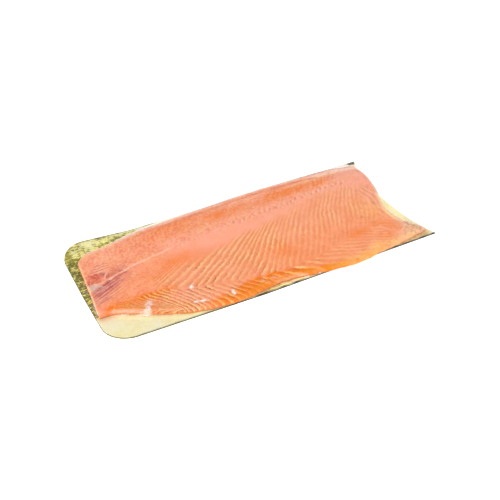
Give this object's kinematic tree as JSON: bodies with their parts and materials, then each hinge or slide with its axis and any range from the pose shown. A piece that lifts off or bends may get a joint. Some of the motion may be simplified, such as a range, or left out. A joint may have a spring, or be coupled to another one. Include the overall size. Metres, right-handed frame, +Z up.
{
  "type": "pack of smoked salmon",
  "caption": "Side of cold-smoked salmon lying skin down on a gold card board, under one tight sheet of clear film.",
  "frame": {"origin": "the middle of the board's underside, on the surface it lies on", "axes": "+X along the board from the tail end of the fish to its head end, +Y across it from the thin belly edge to the thick back, +Z up"},
  "size_m": [0.4655, 0.2069, 0.0256],
  "materials": {
    "board": "gold foil laminated on card, softly glossy, fine embossing",
    "flesh": "moist orange-pink flesh with pale seams between the muscle layers",
    "film": "clear glossy vacuum film"
  },
  "bodies": {
    "root": {"board": "board", "salmon_side": "flesh", "film": "film"}
  },
  "joints": []
}
